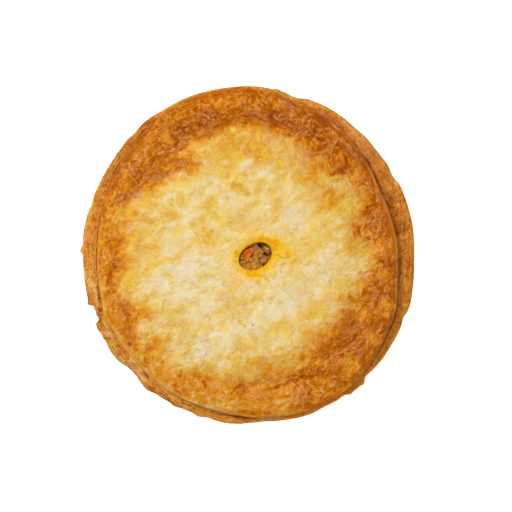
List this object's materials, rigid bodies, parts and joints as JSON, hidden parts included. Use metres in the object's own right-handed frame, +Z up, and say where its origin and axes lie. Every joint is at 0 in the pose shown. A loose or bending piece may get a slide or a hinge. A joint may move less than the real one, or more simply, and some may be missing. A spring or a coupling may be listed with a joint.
{
  "type": "tourtiere",
  "caption": "Whole round double-crust meat pie with a wide uneven rim, a puffed lid and an oval steam vent that shows the minced filling.",
  "frame": {"origin": "middle of the foot's flat face, under the centre of the worn outline", "axes": "+Z up, +Y towards the top of the picture, +X towards its right"},
  "size_m": [0.2324, 0.235, 0.0453],
  "materials": {
    "lower_crust": "baked pastry, dry and matt, tan-brown",
    "lid_crust": "egg-washed baked pastry, satin, pale cream centre and orange-brown border",
    "meat_filling": "moist cooked mince, grey-brown",
    "carrot_dice": "moist cooked carrot, orange"
  },
  "bodies": {
    "root": {"lower_crust": "lower_crust", "lid_crust": "lid_crust", "meat_filling": "meat_filling", "carrot_dice": "carrot_dice"}
  },
  "joints": []
}
